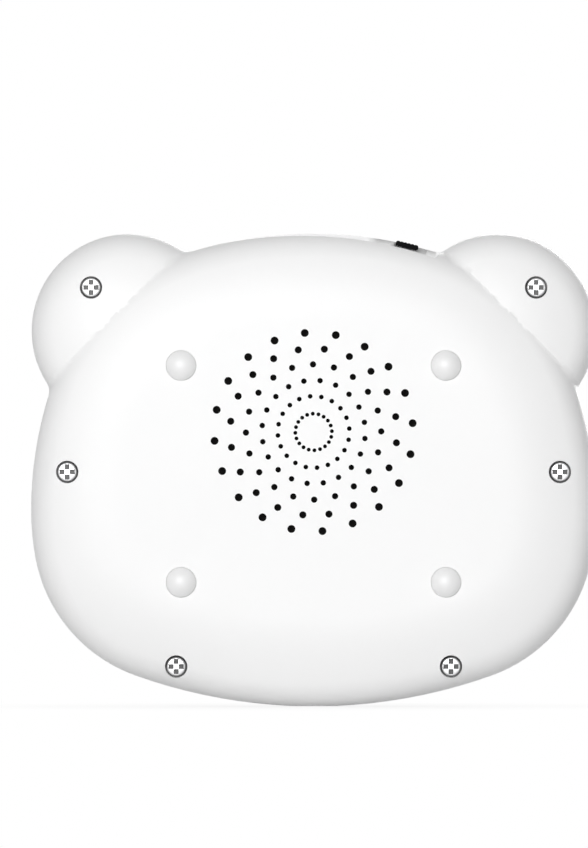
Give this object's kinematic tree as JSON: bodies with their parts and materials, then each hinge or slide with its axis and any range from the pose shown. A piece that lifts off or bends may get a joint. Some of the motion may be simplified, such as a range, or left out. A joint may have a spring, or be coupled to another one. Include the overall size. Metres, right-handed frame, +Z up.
{
  "type": "audio story player",
  "caption": "Bear-head-shaped children's audio player that stands on its chin, with a spiral speaker grille and round feet on its back and push buttons on its face.",
  "frame": {"origin": "middle of the foot of the whole player's box, at the chin's flat", "axes": "+Z up through the ears, +Y out of the face, -Y out of the back with the grille, +X to the right as seen from the back"},
  "size_m": [0.141, 0.0472, 0.118],
  "materials": {
    "shell_white": "fine moulded satin",
    "screw_steel": "plated, pan head",
    "silicone": "smooth satin",
    "black_cloth": "fine weave",
    "soft_rubber": "matte",
    "speaker_steel": "pressed and plated",
    "ferrite": "sintered",
    "spider_cloth": "resin-dipped weave",
    "speaker_paper": "pressed pulp",
    "coil_copper": "lacquered wire",
    "black_plastic": "moulded",
    "knob_black": "fine moulded",
    "cell_foil": "matte foil pouch",
    "plug_ivory": "moulded",
    "board_green": "solder mask",
    "can_aluminium": "drawn can",
    "light_cap": "cast cap",
    "lens_clear": "clear polished",
    "button_charcoal": "polished edge",
    "button_grey": "fine moulded"
  },
  "bodies": {
    "case": {"rear_shell": "shell_white", "front_shell": "shell_white", "case_screws": "screw_steel", "rear_feet": "silicone", "grille_cloth": "black_cloth", "speaker_gasket": "soft_rubber", "speaker_frame": "speaker_steel", "speaker_top_plate": "speaker_steel", "speaker_magnet": "ferrite", "speaker_yoke": "speaker_steel", "speaker_spider": "spider_cloth", "speaker_surround": "soft_rubber", "speaker_terminals": "black_plastic", "speaker_screws": "screw_steel", "battery_cell": "cell_foil", "battery_pad": "soft_rubber", "cell_plug": "plug_ivory", "speaker_plug": "plug_ivory", "main_board": "board_green", "board_screws": "screw_steel", "audio_chip": "black_plastic", "memory_chip": "black_plastic", "capacitors": "can_aluminium", "key_switches": "black_plastic", "power_switch_body": "speaker_steel", "headphone_socket": "black_plastic", "charging_socket": "speaker_steel", "charging_tongue": "black_plastic", "status_light": "light_cap", "status_lens": "lens_clear"},
    "play": {"play_button": "button_charcoal", "play_plunger": "black_plastic"},
    "previous": {"previous_button": "button_charcoal", "previous_plunger": "black_plastic"},
    "next": {"next_button": "button_charcoal", "next_plunger": "black_plastic"},
    "volume_down": {"volume_down_button": "button_grey", "volume_down_plunger": "black_plastic"},
    "volume_up": {"volume_up_button": "button_grey", "volume_up_plunger": "black_plastic"},
    "power_switch": {"power_switch_knob": "knob_black", "power_switch_slider": "black_plastic"},
    "cone": {"speaker_cone": "speaker_paper", "speaker_dust_cap": "speaker_paper", "voice_coil": "coil_copper"}
  },
  "joints": [
    {"name": "play_press", "type": "slide", "parent": "case", "child": "play", "axis": [0, -1, 0], "range_m": [0, 0.0008], "stiffness_N_per_m": 1500},
    {"name": "previous_press", "type": "slide", "parent": "case", "child": "previous", "axis": [0, -1, 0], "range_m": [0, 0.0008], "stiffness_N_per_m": 1500},
    {"name": "next_press", "type": "slide", "parent": "case", "child": "next", "axis": [0, -1, 0], "range_m": [0, 0.0008], "stiffness_N_per_m": 1500},
    {"name": "volume_down_press", "type": "slide", "parent": "case", "child": "volume_down", "axis": [0, -1, 0], "range_m": [0, 0.0008], "stiffness_N_per_m": 1500},
    {"name": "volume_up_press", "type": "slide", "parent": "case", "child": "volume_up", "axis": [0, -1, 0], "range_m": [0, 0.0008], "stiffness_N_per_m": 1500},
    {"name": "power_slide", "type": "slide", "parent": "case", "child": "power_switch", "axis": [0.9715, 0, -0.2369], "range_m": [0, 0.002]},
    {"name": "cone_travel", "type": "slide", "parent": "case", "child": "cone", "axis": [0, -1, 0], "range_m": [-0.0005, 0.0005], "stiffness_N_per_m": 2000, "deforming": ["speaker_surround", "speaker_spider"]}
  ]
}
